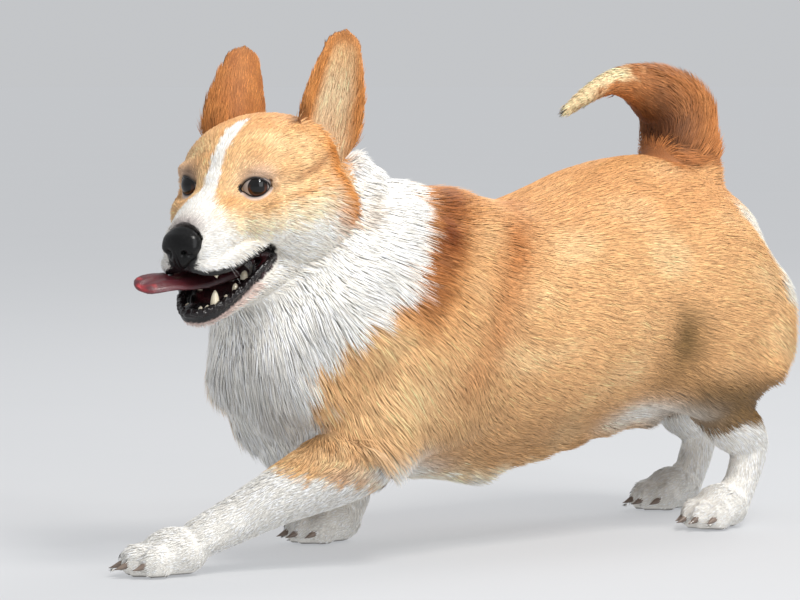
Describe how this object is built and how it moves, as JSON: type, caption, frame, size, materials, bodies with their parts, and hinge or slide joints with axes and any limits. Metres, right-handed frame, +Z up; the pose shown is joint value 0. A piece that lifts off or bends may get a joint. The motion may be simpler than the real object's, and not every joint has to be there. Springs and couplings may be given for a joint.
{
  "type": "running dog model",
  "caption": "Life-size Pembroke Welsh Corgi at a run, mouth open and tongue out to one side, ears pricked, full tail curled over the back, standing on its paws as a still museum model.",
  "frame": {"origin": "middle of the footprint of the whole model, on the floor plane the paws stand on", "axes": "+X the way the body faces, +Y its left side, +Z up"},
  "size_m": [0.6982, 0.219, 0.4164],
  "materials": {
    "coat_tan": "short dense fur, pale tan with redder folds",
    "coat_red": "red-brown fur with cream edges",
    "coat_white": "white fur, longest on the ruff",
    "nose": "damp black",
    "eye": "wet, dark brown",
    "tongue": "moist, dark red"
  },
  "bodies": {
    "root": {"torso": "coat_tan", "neck": "coat_white", "head": "coat_tan", "jaw": "coat_white", "tail": "coat_red", "ear_left": "coat_red", "ear_right": "coat_red", "leg_fore_left": "coat_white", "leg_fore_right": "coat_white", "leg_hind_left": "coat_white", "leg_hind_right": "coat_white", "nose": "nose", "eye_left": "eye", "eye_right": "eye", "tongue": "tongue"}
  },
  "joints": []
}
